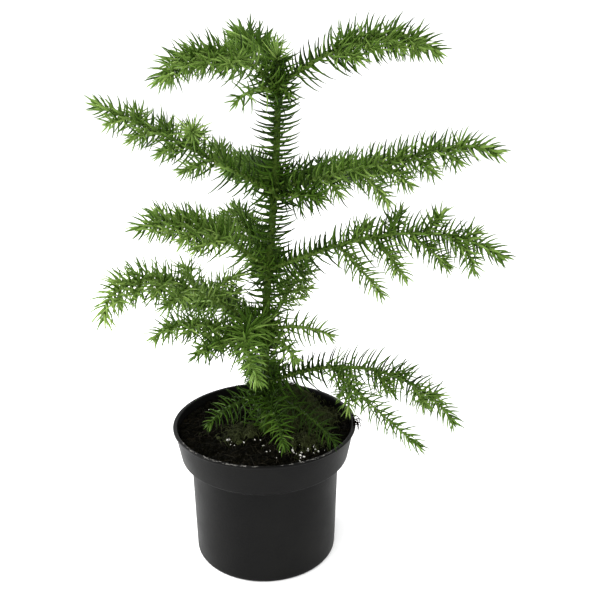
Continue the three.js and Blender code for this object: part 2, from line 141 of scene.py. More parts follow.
# Boughs whose needles are lighter or darker than the rest, partly as younger or older needles
# Painted light and shade too: darker on the low, inner and back boughs, lighter on some lower ones
BOUGH_FRESHNESS_AND_SHADE = {
    "top_left": 0.08, "top_right": 0.04, "top_front": -0.1,
    "upper_left": 0.08, "upper_right": 0.04, "upper_front_right": -0.12,
    "middle_left": 0.14, "middle_back_left": 0.1, "middle_right": -0.06, "middle_back": -0.1,
    "lower_left": 0.14, "lower_left_front": 0.06, "lower_back_left": 0.06, "lower_front_left": -0.12,
    "lower_front": 0.08, "lower_front_right": 0.1, "lower_right": 0.12, "lower_back_right": 0.12,
    "base_right": -0.06, "base_front": -0.26, "base_front_right": -0.66, "base_left": -0.32,
    "base_back": -0.15,
}
# Boughs whose needles differ: shares of the common length at the root and at the tip, width and density
NEEDLE_STYLES = {
    "top_front": (0.8, 0.7, 0.8, 0.8),
    "top_front_left": (0.9, 0.8, 0.85, 0.7),
    "middle_left": (1.1, 1.05, 1, 1),
    "middle_back_left": (0.95, 0.85, 0.85, 1),
    "lower_left": (1.1, 1.15, 0.9, 1),
    "lower_left_front": (1, 0.85, 0.9, 0.9),
    "lower_front_left": (1, 0.75, 0.8, 0.85),
    "lower_front": (1.25, 0.8, 0.8, 1.4),
    "lower_front_right": (0.75, 0.65, 0.9, 0.75),
    "lower_right": (1, 0.8, 0.9, 0.8),
    "lower_back_right": (0.8, 0.75, 0.8, 0.9),
    "base_right": (1.1, 0.95, 0.85, 0.95),
    "base_left": (1.05, 0.6, 0.65, 1.2),
    "base_front": (1.15, 0.7, 0.65, 1.15),
    "base_front_right": (0.8, 0.8, 0.55, 0.9),
}
COMMON_STYLE = (1, 1, 1, 1)

# Limb and twig thickness, as radius at the root and at the tip
BOUGH_RADII = (1.3, 0.5)
TWIG_RADII = (0.65, 0.35)
SHOOT_RADII = (0.45, 0.3)
STEM_RADII = {"limb": BOUGH_RADII, "stem": BOUGH_RADII, "twig": TWIG_RADII, "shoot": SHOOT_RADII}
BOUGH_COLLAR = 0.7
BOUGH_COLLAR_FADE = 2.5
GAP = 0.3

# Twigs: where the last pair stands, how far they spread, curve forward and shorten to the tip
WALK_STEPS = 48
SAMPLE_STEP = 3
FEWEST_SAMPLES = 3
LAST_TWIG = 0.8
TWIG_STAGGER = 0.45
TWIG_SPREAD = 60
TWIG_FORWARD_TURN = 30
TWIG_SHORTENING = 0.65
TWIG_CHANCE = 0.3
# Twigs that go their own way, by bough, pair and side: length, spread, roll and sag
OWN_TWIGS = {
    ("upper_left", 1, -1): (24, 65, -111, 72),
    ("lower_left", 0, -1): (18, 124, -85, 10),
    ("lower_left", 0, 1): (25, 104, 97, 26),
    ("lower_left", 1, -1): (23, 67, -48, 40),
    ("upper_right", 0, -1): (16, 52, 37, 47),
    ("upper_right", 1, -1): (29, 37, 73, 47),
    ("middle_right", 1, 1): (21, 77, 26, -14),
    ("middle_right", 2, -1): (31, 41, 69, 12),
    ("middle_right", 3, -1): (28, 23, 31, 70),
    ("middle_right", 2, 1): (18, 63, 93, 13),
    ("base_right", 0, -1): (80, 60, 6, 22),
    ("base_right", 0, 1): (32, 98, -80, 10),
}
# Twigs that end in an open star of needles, as the trunk's leader does
OPEN_TWIGS = {("upper_left", 1, -1)}
MASS_LEAD = 4

# Finer shoots: on twigs between these lengths, at these shares of the twig, with this share of its length
SHOOT_TWIG_LENGTHS = (16, 36)
SHOOT_PLACES = (0.36, 0.6)
SHOOT_LENGTH_SHARE = 0.34
SHOOT_LENGTH_FADE = 1.2
SHOOT_LENGTH_CHANCE = (0.8, 0.4)
SHOOT_SPREAD = 48
SHOOT_ROLL = 60
SHOOT_ROLL_SEED = 7
SHOOT_SAG = 15
# Kinds of stem that grow in the masses, and how many sprays are numbered to a bough and to a twig
SPRAY_KINDS = ("stem", "twig", "shoot")
BOUGH_SPRAYS = 100
TWIG_SPRAYS = 10

# Bark as columns round the stem, step between rows, and height of its cushions as a share of the radius
BARK_RULES = {"trunk": (48, 0.28, 0.16), "limb": (24, 0.3, 0.2), "spray": (10, 0.5, 0.2)}
FEWEST_ROWS = 4
# Steps of cushions that lie side by side on the spiral, and the whole turns that they nearly make
SPIRAL_STEPS = ((5, 2), (8, 3))
# Fine ridges: height, and for each of two sines its waves round the stem and to a needle's spacing
RIDGE_HEIGHT = 0.3
RIDGE_WAVES = ((7, 0.05), (3, 0.11))
BARK_SINK = 0.3
# Needles by the kind of stem: how many to a millimetre, length, lean from the stem, how far that lean
# closes towards the needle's tip, and half the width at the root
NEEDLE_COLUMNS = ("per_mm", "length", "lean", "incurve", "half_width")
NEEDLE_RULES = {
    "trunk": (1.95, 13.3, 94, 40, 0.88),
    "limb": (2.4, 11, 88, 36, 0.84),
    "stem": (1.8, 14, 86, 34, 0.83),
    "twig": (1.85, 11.4, 74, 32, 0.65),
    "shoot": (1.75, 8.8, 66, 30, 0.55),
}
NEEDLE_SHARES = np.array([0.0, 0.12, 0.42, 0.74])
NEEDLE_WIDTHS = np.array([1.05, 1.0, 0.82, 0.5])
NEEDLE_FLATNESS = 0.75
NEEDLE_ROOT_SHARE = 0.6
NEEDLE_ROOM = 0.4
NEEDLE_TEST_SHARES = np.array([0.5, 1.0])
SHORTEST_NEEDLE = 3
NEEDLE_SEED = 100
INCURVE_CHANCE = (0.8, 1.2)
WIDTH_CHANCE = (0.85, 1.15)
NEEDLE_CHANCE = 0.06
NEEDLE_TURN_CHANCE = 0.06
NEEDLE_LEAN_CHANCE = 2.5
NEEDLE_PLACE_CHANCE = 0.1
TIP_SHORTENING = 0.42
TIP_POWER = 3
TIP_CLOSING = 0.42
TIP_SHARE = 0.72
UNDERSIDE_LOSS = 0.6
UNDERSIDE_LENGTHENING = 0.5
TIP_ROOM = 3
# Young needles round a growing tip, closed in a bud or open in a star: how many, over what depth, length,
# lean, its share at the first needle and the loss of it to the last, the spread of that lean, the shortest
# and longest share of the length, half the width, shade, and the first stem's seed
TIP_COLUMNS = (
    "count", "depth", "length", "lean", "first", "closing", "lean_chance",
    "shortest", "longest", "half_width", "shade", "seed",
)
TIP_RULES = {
    "bud": (7, 2.5, 4.4, 27, 1.3, 0.9, 3, 0.7, 1.1, 0.36, 0.46, 5000),
    "star": (24, 3, 12, 88, 1, 0.85, 2.5, 0.8, 1.1, 0.5, 0.6, 7000),
}
TIP_INCURVE = 9.0
SHOOT_BUD_SHARE = 0.75
# Shades of needle, lit and shaded copies of one green: painted shade for the shaded inside of the crown, up
# to the youngest tips
SHADES = {
    "shadow": (0.011, 0.026, 0.002),
    "deep": (0.026, 0.060, 0.0045),
    "dark": (0.050, 0.099, 0.011),
    "green": (0.086, 0.152, 0.025),
    "bright": (0.134, 0.215, 0.044),
    "fresh": (0.186, 0.276, 0.062),
}
SHADE_EDGES = (-0.02, 0.2, 0.36, 0.54, 0.74)
SHADE_CHANCE = 0.12
# How bright needles are by the kind of stem, darkest on the trunk and limbs, partly as painted shade of the
# crown's inside, and how far whole sprays differ
STEM_SHADES = {"trunk": 0.07, "limb": 0.3, "stem": 0.46, "twig": 0.54, "shoot": 0.56}
SPRAY_SHADE_CHANCE = 0.14
TIP_FRESHNESS = 0.1
# Painted shade on needles that stand up or hang down
UPRIGHT_PAINTED_SHADE = 0.42
# Twigs on boughs whose freshness and shade is this low or lower have dark bark, painted shade on the low
# boughs
SHADED_BARK_LIMIT = -0.2

# Soil litter: clods as count, smallest and largest size, and seed, with most of them small
DARK_CLODS = (1700, 0.4, 2.4, 11)
BROWN_CLODS = (850, 0.3, 1.5, 12)
CLOD_SIZE_POWER = 3
CLOD_STRETCH = ((0.7, 0.7, 0.5), (1.3, 1.1, 0.9))
CLOD_LIFT = 0.2
# Fibres as shortest and longest length, thickness, how far they arch off the soil, and seed
STRAW = (3, 11, 0.12, 1.4, 22)
MOSS = (2, 6, 0.17, 3, 52)
STRAW_COUNT = 420
STRAW_PLACES_SEED = 21
MOSS_PLACES_SEED = 51
FIBRE_POINTS = 7
FIBRE_BOW = 0.8
FIBRE_ROOM = 0.5
FIBRE_THICKNESS_CHANCE = (0.6, 1.4)
FIBRE_TAPER = 1.6
FIBRE_TAPER_POWER = 1.5
# Fuzzy moss and dead needles on the soil as x, y, spread, count
MOSS_PATCHES = ((14, 25, 8, 2000), (18, 9, 8, 1000), (30, 7, 6, 700), (-14, -8, 6, 250), (24, -20, 6, 350))
CLUMP_PATCHES = ((14, 25, 8, 220), (18, 8, 7, 80), (30, 7, 5, 60), (-14, -8, 5, 25))
CLUMP_SIZES = (0.9, 2.4)
CLUMP_STRETCH = ((0.8, 0.8, 0.6), (1.2, 1.2, 1))
CLUMP_LIFT = 0.1
CLUMP_ROOM = 2
CLUMP_SEED = 71
LUMP_RINGS = 3
LUMP_COLUMNS = 6
LUMP_PUSH = (0.65, 1.2)
# White grains on the soil as x, y, spread, count: large ones and small ones
LARGE_GRAINS = ((18.5, -32, 3.5, 9), (30, -22, 4, 4), (-18, -13, 2, 4), (27, -2, 5, 2))
SMALL_GRAINS = ((25, -27, 6, 12), (-18, -13, 3, 5), (-8, -33, 9, 6), (0, 0, 32, 34), (-29, 10, 3, 3))
LARGE_GRAIN = 0.8
SMALL_GRAIN = 0.42
LARGE_GRAIN_SEED = 31
SMALL_GRAIN_SEED = 35
GRAIN_SIZE_CHANCE = (0.5, 1.2)
GRAIN_STRETCH = (0.75, 1.15)
GRAIN_LIFT = 0.6
GRAIN_ROOM = 1
# Root fibres caught on the lip: azimuth, its spread and drift in degrees, count, reach, drop and thickness
LIP_CRUMB_AZIMUTH = -2
LIP_CRUMB_SPREAD = 3
LIP_CRUMB_DRIFT = 4
LIP_CRUMB_COUNT = 12
LIP_CRUMB_REACH = (2.5, 5.5)
LIP_CRUMB_DROP = 6
LIP_CRUMB_DROP_CHANCE = (-0.3, 1)
LIP_CRUMB_INSET = 1.5
LIP_CRUMB_LIFT = 0.5
LIP_CRUMB_ARCH = 1.2
LIP_CRUMB_RADII = (0.3, 0.55)
LIP_CRUMB_TAPER = 0.7
LIP_CRUMB_SEED = 61
# Worn places along the lip as azimuth, spread in degrees, count
SCUFF_PATCHES = (
    (-143, 4, 6), (-133, 3, 5), (-122, 6, 14), (-109, 5, 7), (-99, 4, 10), (-72, 5, 6),
    (-59, 4, 12), (-49, 4, 12),
)
SCUFF_BAND = (COLLAR_TOP_RADIUS - 0.9, LIP_RADIUS - 0.5)
SCUFF_LENGTH = 1.2
SCUFF_LENGTH_CHANCE = (0.3, 1.2)
SCUFF_WIDTH_SHARE = 0.14
SCUFF_THICKNESS = 0.08
SCUFF_SEED = 41

# Finishes as colour stops with their places, colour clouds to a metre, low and high roughness, bumps to a
# metre with their height in metres, and strength of the shine
FINISHES = {
    "satin_black_plastic": (
        ((0.3, (0.002, 0.002, 0.002)), (0.6, (0.0034, 0.0034, 0.0032)), (0.85, (0.008, 0.008, 0.007))),
        22, (0.4, 0.52), (900, 0.00008), 0.068,
    ),
    "worn_plastic": (
        ((0.3, (0.07, 0.067, 0.06)), (0.7, (0.26, 0.25, 0.23))),
        700, (0.6, 0.8), (1500, 0.0001), 0.3,
    ),
    "moist_peat": (
        ((0.3, (0.0006, 0.0006, 0.0003)), (0.55, (0.0017, 0.0016, 0.0007)), (0.8, (0.006, 0.0053, 0.0022))),
        320, (0.75, 0.95), (1400, 0.0006), 0.02,
    ),
    "dark_clods": (
        ((0.3, (0.0009, 0.0009, 0.0005)), (0.75, (0.0032, 0.0029, 0.0014))),
        500, (0.7, 0.95), (1800, 0.0004), 0.02,
    ),
    "brown_clods": (
        ((0.3, (0.002, 0.0017, 0.0008)), (0.75, (0.009, 0.0074, 0.0036))),
        500, (0.7, 0.95), (1800, 0.0004), 0.02,
    ),
    "dry_fibres": (
        ((0.3, (0.004, 0.0035, 0.0018)), (0.75, (0.022, 0.018, 0.010))),
        300, (0.7, 0.95), (1800, 0.0002), 0.1,
    ),
    "mossy_fibres": (
        ((0.3, (0.009, 0.012, 0.003)), (0.75, (0.052, 0.063, 0.019))),
        200, (0.7, 0.95), (1800, 0.0002), 0.1,
    ),
    "mossy_tufts": (
        ((0.35, (0.005, 0.006, 0.0015)), (0.65, (0.030, 0.037, 0.010))),
        260, (0.7, 0.95), (1800, 0.0004), 0.08,
    ),
    "perlite": (
        ((0.3, (0.6, 0.58, 0.52)), (0.7, (0.88, 0.87, 0.83))),
        900, (0.8, 0.95), (2500, 0.0003), 0.3,
    ),
    "trunk_bark": (
        ((0.3, (0.015, 0.032, 0.003)), (0.55, (0.028, 0.052, 0.005)), (0.8, (0.044, 0.070, 0.009))),
        220, (0.6, 0.8), (1500, 0.0003), 0.06,
    ),
    "limb_bark": (
        ((0.3, (0.045, 0.082, 0.008)), (0.7, (0.080, 0.128, 0.016))),
        260, (0.55, 0.75), (1700, 0.0002), 0.15,
    ),
    "twig_bark": (
        ((0.3, (0.060, 0.112, 0.013)), (0.7, (0.100, 0.165, 0.024))),
        300, (0.5, 0.7), (1800, 0.0001), 0.15,
    ),
    # Painted shade: twig bark darkened for the low boughs
    "shaded_twig_bark": (
        ((0.3, (0.012, 0.026, 0.003)), (0.7, (0.026, 0.050, 0.006))),
        300, (0.5, 0.7), (1800, 0.0001), 0.06,
    ),
    "pale_floor": (
        ((0.3, (0.95, 0.95, 0.95)), (0.7, (0.97, 0.97, 0.97))),
        3, (0.6, 0.7), (40, 0.0001), 0.2,
    ),
}
# Needles have stops as place and share of their shade, and the rest of a finish in common
NEEDLE_STOPS = ((0.3, 0.82), (0.7, 1.16))
NEEDLE_FINISH = (260, (0.5, 0.65), (1500, 0.00005), 0.05)
# Detail of the colour, roughness and bump clouds, and how much finer the roughness is than the colour
COLOUR_DETAIL = 5
ROUGHNESS_DETAIL = 3
BUMP_DETAIL = 4
ROUGHNESS_FINENESS = 2.3
CLOUD_RANGE = (0.3, 0.7)
RAMP_MIDDLE = 0.5
# Camera, lights and floor: places and sides in metres, pitch in degrees, lens and sensor in millimetres
EYE = (0.0204, -0.4124, 0.2936)
CAMERA_PITCH = 18.75
LENS = 47.68
SENSOR = 36
CLIP_START = 0.01
FLOOR_SIDE = 14
WORLD_LIGHT = 1.45
# Soft lights as place, side and power
SOFT_LIGHTS = {
    "soft_key": ((-0.5, -0.75, 0.85), 1.2, 9.5),
    "front_fill": ((0.25, -1.2, 0.4), 1, 5.5),
    "left_sheen": ((-0.9, 0.35, 0.16), 0.5, 24),
}


# Small helpers

def smoothstep(value, low, high):
    """Goes from 0 at low to 1 at high, level at both ends: 3 squares less 2 cubes of the share between."""
    share = np.clip((value - low) / (high - low), 0, 1)
    return share * share * (3 - 2 * share)


def chance(*seeds):
    """A share between 0 and 1, always the same for the same seeds: the fraction of a widened sine."""
    mixed = sum((seed + 1) * (SEED_WEIGHT + SEED_WEIGHT_STEP * i) for i, seed in enumerate(seeds))
    wide = math.sin(mixed) * CHANCE_SCALE
    return wide - math.floor(wide)


def unit(vectors):
    """Vectors brought to length 1."""
    return vectors / np.linalg.norm(vectors, axis=-1, keepdims=True)


def polar(radius, angle, height):
    """Points at a radius and an angle round the Z axis, and at a height."""
    x, y = radius * np.cos(angle), radius * np.sin(angle)
    return np.stack([x, y, height + 0 * x], axis=-1)


def patchwork(x, y, cell, seed):
    """Smooth noise from -1 to 1: a fixed chance at each corner of square cells, eased between corners."""
    column, row = np.floor(x / cell), np.floor(y / cell)
    across = smoothstep(x / cell - column, 0, 1)
    along = smoothstep(y / cell - row, 0, 1)

    def corner(i, j):
        mixed = (column + i) * CELL_WEIGHTS[0] + (row + j) * CELL_WEIGHTS[1] + seed * CELL_WEIGHTS[2]
        wide = np.sin(mixed) * CHANCE_SCALE
        return 2 * (wide - np.floor(wide)) - 1

    near = corner(0, 0) * (1 - across) + corner(1, 0) * across
    far = corner(0, 1) * (1 - across) + corner(1, 1) * across
    return near * (1 - along) + far * along


# Meshes: a shape is its points, its quads and its triangles

def wrapped_quads(rows, columns):
    """Quads of a grid that closes on itself across its columns."""
    index = np.arange(rows * columns).reshape(rows, columns)
    beside = np.roll(index, -1, axis=1)
    return np.stack([index[:-1], beside[:-1], beside[1:], index[1:]], axis=-1).reshape(-1, 4)


def capped_grid(grid, first_pole, last_pole):
    """A closed shape from rows of rings, with each end drawn together onto a pole."""
    rows, columns = grid.shape[:2]
    first_ring = np.arange(columns)
    last_ring = first_ring + (rows - 1) * columns
    pole = rows * columns
    first_cap = np.stack([np.roll(first_ring, -1), first_ring, np.full(columns, pole)], axis=-1)
    last_cap = np.stack([last_ring, np.roll(last_ring, -1), np.full(columns, pole + 1)], axis=-1)
    points = np.vstack([grid.reshape(-1, 3), first_pole, last_pole])
    return points, wrapped_quads(rows, columns), np.vstack([first_cap, last_cap])


def repeated(faces, count, stride):
    """The faces of one small shape, counted on for as many copies."""
    return (faces[None] + stride * np.arange(count)[:, None, None]).reshape(-1, faces.shape[1])


def join(shapes):
    """Several shapes as one, with the faces counted on."""
    starts = np.cumsum([0] + [len(points) for points, _, _ in shapes])
    points = np.vstack([shape[0] for shape in shapes])
    quads = np.vstack([shape[1] + start for shape, start in zip(shapes, starts)])
    triangles = np.vstack([shape[2] + start for shape, start in zip(shapes, starts)])
    return points, quads, triangles


def put(name, data):
    """A new object in the scene."""
    thing = bpy.data.objects.new(name, data)
    bpy.context.scene.collection.objects.link(thing)
    return thing


def add_piece(name, shape, material, slot, nodes):
    """Puts a shape into a mesh object, which rides with the plant and stands for the named nodes."""
    points, quads, triangles = shape
    mesh = bpy.data.meshes.new(name)
    mesh.vertices.add(len(points))
    mesh.vertices.foreach_set("co", (points * MM).astype(np.float32).ravel())
    corners = np.concatenate([quads.ravel(), triangles.ravel()])
    quad_starts = 4 * np.arange(len(quads))
    triangle_starts = quads.size + 3 * np.arange(len(triangles))
    starts = np.concatenate([quad_starts, triangle_starts])
    mesh.loops.add(len(corners))
    mesh.loops.foreach_set("vertex_index", corners.astype(np.int32))
    mesh.polygons.add(len(starts))
    mesh.polygons.foreach_set("loop_start", starts.astype(np.int32))
    mesh.update(calc_edges=True)
    mesh.shade_smooth()
    mesh.materials.append(material)
    piece = put(name, mesh)
    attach(piece, "root")
    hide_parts(*nodes)
    return piece


# Materials

def finish(name, stops, grain, roughness, bump, specular):
    """A surface whose colour runs through the stops of a cloudy grain, rough and uneven by finer grains."""
    material = bpy.data.materials.new(name)
    material.use_nodes = True
    nodes, links = material.node_tree.nodes, material.node_tree.links
    surface = nodes["Principled BSDF"]
    surface.inputs["Specular IOR Level"].default_value = specular
    place = nodes.new("ShaderNodeTexCoord").outputs["Object"]

    def cloud(scale, detail):
        noise = nodes.new("ShaderNodeTexNoise")
        noise.inputs["Scale"].default_value = scale
        noise.inputs["Detail"].default_value = detail
        links.new(place, noise.inputs["Vector"])
        return noise.outputs["Fac"]

    ramp = nodes.new("ShaderNodeValToRGB")
    while len(ramp.color_ramp.elements) < len(stops):
        ramp.color_ramp.elements.new(RAMP_MIDDLE)
    for element, (share, colour) in zip(ramp.color_ramp.elements, stops):
        element.position = share
        element.color = (*colour, 1)
    links.new(cloud(grain, COLOUR_DETAIL), ramp.inputs["Fac"])
    links.new(ramp.outputs["Color"], surface.inputs["Base Color"])

    spread = nodes.new("ShaderNodeMapRange")
    spread.inputs["From Min"].default_value, spread.inputs["From Max"].default_value = CLOUD_RANGE
    spread.inputs["To Min"].default_value, spread.inputs["To Max"].default_value = roughness
    links.new(cloud(grain * ROUGHNESS_FINENESS, ROUGHNESS_DETAIL), spread.inputs["Value"])
    links.new(spread.outputs["Result"], surface.inputs["Roughness"])

    relief = nodes.new("ShaderNodeBump")
    bump_count, bump_height = bump
    relief.inputs["Distance"].default_value = bump_height
    links.new(cloud(bump_count, BUMP_DETAIL), relief.inputs["Height"])
    links.new(relief.outputs["Normal"], surface.inputs["Normal"])
    return material


@cache
def table_finish(name):
    """A finish from the table, made when it is first asked for."""
    return finish(name, *FINISHES[name])


def needle_finish(name, shade):
    """Waxy green, a little lighter and darker from needle to needle."""
    stops = [(place, tuple(channel * factor for channel in shade)) for place, factor in NEEDLE_STOPS]
    return finish(name, stops, *NEEDLE_FINISH)


# Pot

def rounded_profile(corners):
    """An outline of radius and height with each corner, given its rounding, bent by a quadratic curve.

    The curve starts and ends at the rounding's distance from the corner, and straight stretches get a
    point every few millimetres.
    """
    places = np.array([corner[:2] for corner in corners], float)
    outline = [places[:1]]
    for before, corner, after, (_, _, rounding) in zip(places, places[1:], places[2:], corners[1:]):
        start = corner + unit(before - corner) * rounding
        end = corner + unit(after - corner) * rounding
        share = np.linspace(0, 1, ROUNDING_STEPS)[:, None]
        bend = start * (1 - share) ** 2 + corner * 2 * share * (1 - share) + end * share ** 2
        outline.append(stretch(outline[-1][-1], start))
        outline.append(bend)
    outline.append(stretch(outline[-1][-1], places[-1]))
    outline.append(places[-1:])
    return np.vstack(outline)


def stretch(start, end):
    """Points between two places, without them: one close to each, and the rest spaced evenly."""
    length = np.linalg.norm(end - start)
    inset = min(PROFILE_SUPPORT, length / 4)
    distance = np.linspace(inset, length - inset, max(2, int(length / PROFILE_STEP)))
    return start + (end - start) * (distance / length)[:, None]


def turned(profile, segments):
    """A profile of radius and height carried round the Z axis, with its two ends as poles."""
    angle = TURN * np.arange(segments) / segments
    grid = polar(profile[1:-1, 0, None], angle, profile[1:-1, 1, None])
    poles = [np.array([0, 0, z]) for z in (profile[0, 1], profile[-1, 1])]
    return capped_grid(grid, *poles)


def pot_shape():
    """Thin-walled pot: foot, tapering wall, shoulder, collar and lip, then back down the inside."""
    collar_foot = SHOULDER_FOOT_Z + SHOULDER_RISE
    lip_foot = POT_HEIGHT - LIP_HEIGHT
    return turned(rounded_profile((
        (0, 0, 0),
        (POT_FOOT_RADIUS, 0, FOOT_ROUNDING),
        (SHOULDER_RADIUS, SHOULDER_FOOT_Z, EDGE_ROUNDING),
        (COLLAR_FOOT_RADIUS, collar_foot, SHOULDER_ROUNDING),
        (COLLAR_TOP_RADIUS, lip_foot, EDGE_ROUNDING),
        (LIP_RADIUS, lip_foot, EDGE_ROUNDING),
        (LIP_RADIUS, POT_HEIGHT, EDGE_ROUNDING),
        (COLLAR_TOP_RADIUS - POT_WALL, POT_HEIGHT, EDGE_ROUNDING),
        (COLLAR_FOOT_RADIUS - POT_WALL, collar_foot + POT_WALL, SHOULDER_ROUNDING),
        (SHOULDER_RADIUS - POT_WALL, SHOULDER_FOOT_Z + POT_WALL, EDGE_ROUNDING),
        (POT_FOOT_RADIUS - POT_WALL, POT_WALL, EDGE_ROUNDING),
        (0, POT_WALL, 0),
    )), POT_SEGMENTS)


# Soil and litter

def soil_height(x, y):
    """Height of the soil: its level, less the fall to the wall, plus bell-shaped mounds off the seat."""
    out = np.hypot(x, y)
    edge = smoothstep(out, SOIL_SEAT_RADIUS, SOIL_EDGE_RADIUS)
    off_seat = smoothstep(out, SOIL_SEAT_RADIUS, 2 * SOIL_SEAT_RADIUS)
    rise = sum(
        height * np.exp(-((x - mx) ** 2 + (y - my) ** 2) / reach ** 2)
        for mx, my, height, reach in SOIL_MOUNDS
    )
    return SOIL_LEVEL - SOIL_EDGE_DROP * edge + rise * off_seat


def soil_surface(x, y):
    """The soil's height with its crumbly relief: four sizes of smooth noise, one on another."""
    relief = sum(
        height * patchwork(x, y, cell, seed) for seed, (cell, height) in enumerate(SOIL_OCTAVES)
    )
    return soil_height(x, y) + relief


def soil_shape():
    """The soil's surface on rings round the pot's axis, closed by a short wall and a flat bottom."""
    angle = TURN * np.arange(SOIL_COLUMNS) / SOIL_COLUMNS
    edge = SOIL_EDGE_RADIUS + POT_WALL / 2
    radius = edge * np.linspace(1, 1 / SOIL_RINGS, SOIL_RINGS)[:, None]
    x, y = radius * np.cos(angle), radius * np.sin(angle)
    top = np.stack([x, y, soil_surface(x, y)], axis=-1)
    bottom_z = SOIL_LEVEL - SOIL_DEPTH
    wall = np.stack([x[0], y[0], np.full(SOIL_COLUMNS, bottom_z)], axis=-1)
    grid = np.concatenate([wall[None], top])
    middle = soil_surface(np.zeros(1), np.zeros(1))[0]
    return capped_grid(grid, np.array([0, 0, bottom_z]), np.array([0, 0, middle]))


def scattered(count, seed):
    """Seeded places spread evenly over the soil: even shares of its area, at a random azimuth."""
    draw = np.random.default_rng(seed)
    radius = (SOIL_EDGE_RADIUS - GRAIN_ROOM) * np.sqrt(draw.random(count))
    angle = TURN * draw.random(count)
    return polar(radius, angle, 0)[:, :2]


def patches(rows, seed):
    """Seeded places in patches, each a middle, a spread and a count."""
    draw = np.random.default_rng(seed)
    return np.vstack([draw.normal((x, y), spread, (count, 2)) for x, y, spread, count in rows])


def inside(places, room):
    """The places that keep some room from the soil's edge."""
    return places[np.hypot(places[:, 0], places[:, 1]) < SOIL_EDGE_RADIUS - room]


def lumps(middles, sizes, turns, seed):
    """Rough grains: a small ball of rings whose points are pushed in and out by chance.

    Each ball is stretched by its three sizes, turned about Z by its turn, and set at its middle.
    """
    draw = np.random.default_rng(seed)
    count = len(middles)
    from_pole = (np.pi * np.arange(1, LUMP_RINGS + 1) / (LUMP_RINGS + 1))[:, None]
    around = TURN * np.arange(LUMP_COLUMNS) / LUMP_COLUMNS
    rings = polar(np.sin(from_pole), around, -np.cos(from_pole))
    ball, quads, triangles = capped_grid(rings, -UP, UP)
    pushed = ball[None] * draw.uniform(*LUMP_PUSH, (count, len(ball), 1)) * sizes[:, None]
    cos, sin = np.cos(turns)[:, None], np.sin(turns)[:, None]
    x = pushed[..., 0] * cos - pushed[..., 1] * sin
    y = pushed[..., 0] * sin + pushed[..., 1] * cos
    points = np.stack([x, y, pushed[..., 2]], axis=-1) + middles[:, None]
    stride = len(ball)
    return points.reshape(-1, 3), repeated(quads, count, stride), repeated(triangles, count, stride)


def resting_lumps(places, size, stretch, lift, draw, seed):
    """Grains on the soil, lifted by a share of their size, each stretched and turned by chance."""
    count = len(places)
    sizes = size[:, None] * draw.uniform(*stretch, (count, 3))
    heights = soil_surface(places[:, 0], places[:, 1]) + lift * size
    return lumps(np.column_stack([places, heights]), sizes, TURN * draw.random(count), seed)


def clods(rule):
    """Clods of soil over the whole surface, half sunk in."""
    count, smallest, largest, seed = rule
    draw = np.random.default_rng(seed)
    size = smallest + (largest - smallest) * draw.random(count) ** CLOD_SIZE_POWER
    return resting_lumps(scattered(count, seed), size, CLOD_STRETCH, CLOD_LIFT, draw, seed)


def perlite(rows, largest, seed):
    """White grains in patches, resting on the soil."""
    places = inside(patches(rows, seed), GRAIN_ROOM)
    draw = np.random.default_rng(seed + 1)
    size = largest * draw.uniform(*GRAIN_SIZE_CHANCE, len(places))
    return resting_lumps(places, size, GRAIN_STRETCH, GRAIN_LIFT, draw, seed + 2)


def scuffs():
    """Worn pale flecks: thin flat grains that lie along the top of the lip."""
    draw = np.random.default_rng(SCUFF_SEED)
    angle = np.radians(np.concatenate([
        draw.normal(azimuth, spread, count) for azimuth, spread, count in SCUFF_PATCHES
    ]))
    count = len(angle)
    middles = polar(draw.uniform(*SCUFF_BAND, count), angle, POT_HEIGHT)
    length = SCUFF_LENGTH * draw.uniform(*SCUFF_LENGTH_CHANCE, count)
    sizes = np.stack([length * SCUFF_WIDTH_SHARE, length, np.full(count, SCUFF_THICKNESS)], axis=-1)
    return lumps(middles, sizes, angle, SCUFF_SEED + 1)


def thin_tubes(paths, radii):
    """Three-sided tubes along many paths at once, closed at both ends by a triangle.

    The corners of a ring stand at thirds of a turn from the level direction across the path.
    """
    count, steps = paths.shape[:2]
    ahead = unit(np.gradient(paths, axis=1))
    side = unit(np.cross(UP, ahead))
    over = np.cross(ahead, side)
    angle = TURN * np.arange(3) / 3
    ring = side[:, :, None] * np.cos(angle)[:, None] + over[:, :, None] * np.sin(angle)[:, None]
    points = paths[:, :, None] + ring * radii[:, :, None, None]
    stride = 3 * steps
    caps = np.array([[2, 1, 0], [stride - 3, stride - 2, stride - 1]])
    quads = repeated(wrapped_quads(steps, 3), count, stride)
    return points.reshape(-1, 3), quads, repeated(caps, count, stride)


def fibres(places, rule):
    """Bowed fibres that lie on the soil: a level parabola that arches off it between its two ends."""
    shortest, longest, thickness, lift, seed = rule
    draw = np.random.default_rng(seed)
    count = len(places)
    share = np.linspace(-0.5, 0.5, FIBRE_POINTS)
    turn = TURN * draw.random((count, 1))
    length = draw.uniform(shortest, longest, (count, 1))
    bow = length * draw.uniform(-FIBRE_BOW, FIBRE_BOW, (count, 1))
    along, across = length * share, bow * share ** 2
    x = places[:, :1] + along * np.cos(turn) - across * np.sin(turn)
    y = places[:, 1:] + along * np.sin(turn) + across * np.cos(turn)
    inward = np.minimum(1, (SOIL_EDGE_RADIUS - FIBRE_ROOM) / np.hypot(x, y))
    x, y = x * inward, y * inward
    arch = lift * draw.random((count, 1)) * (1 - 4 * share ** 2)
    tilt = lift * draw.random((count, 1)) * (share + 0.5)
    paths = np.stack([x, y, soil_surface(x, y) + arch + tilt], axis=-1)
    taper = 1 - FIBRE_TAPER * np.abs(share) ** FIBRE_TAPER_POWER
    return thin_tubes(paths, thickness * draw.uniform(*FIBRE_THICKNESS_CHANCE, (count, 1)) * taper)


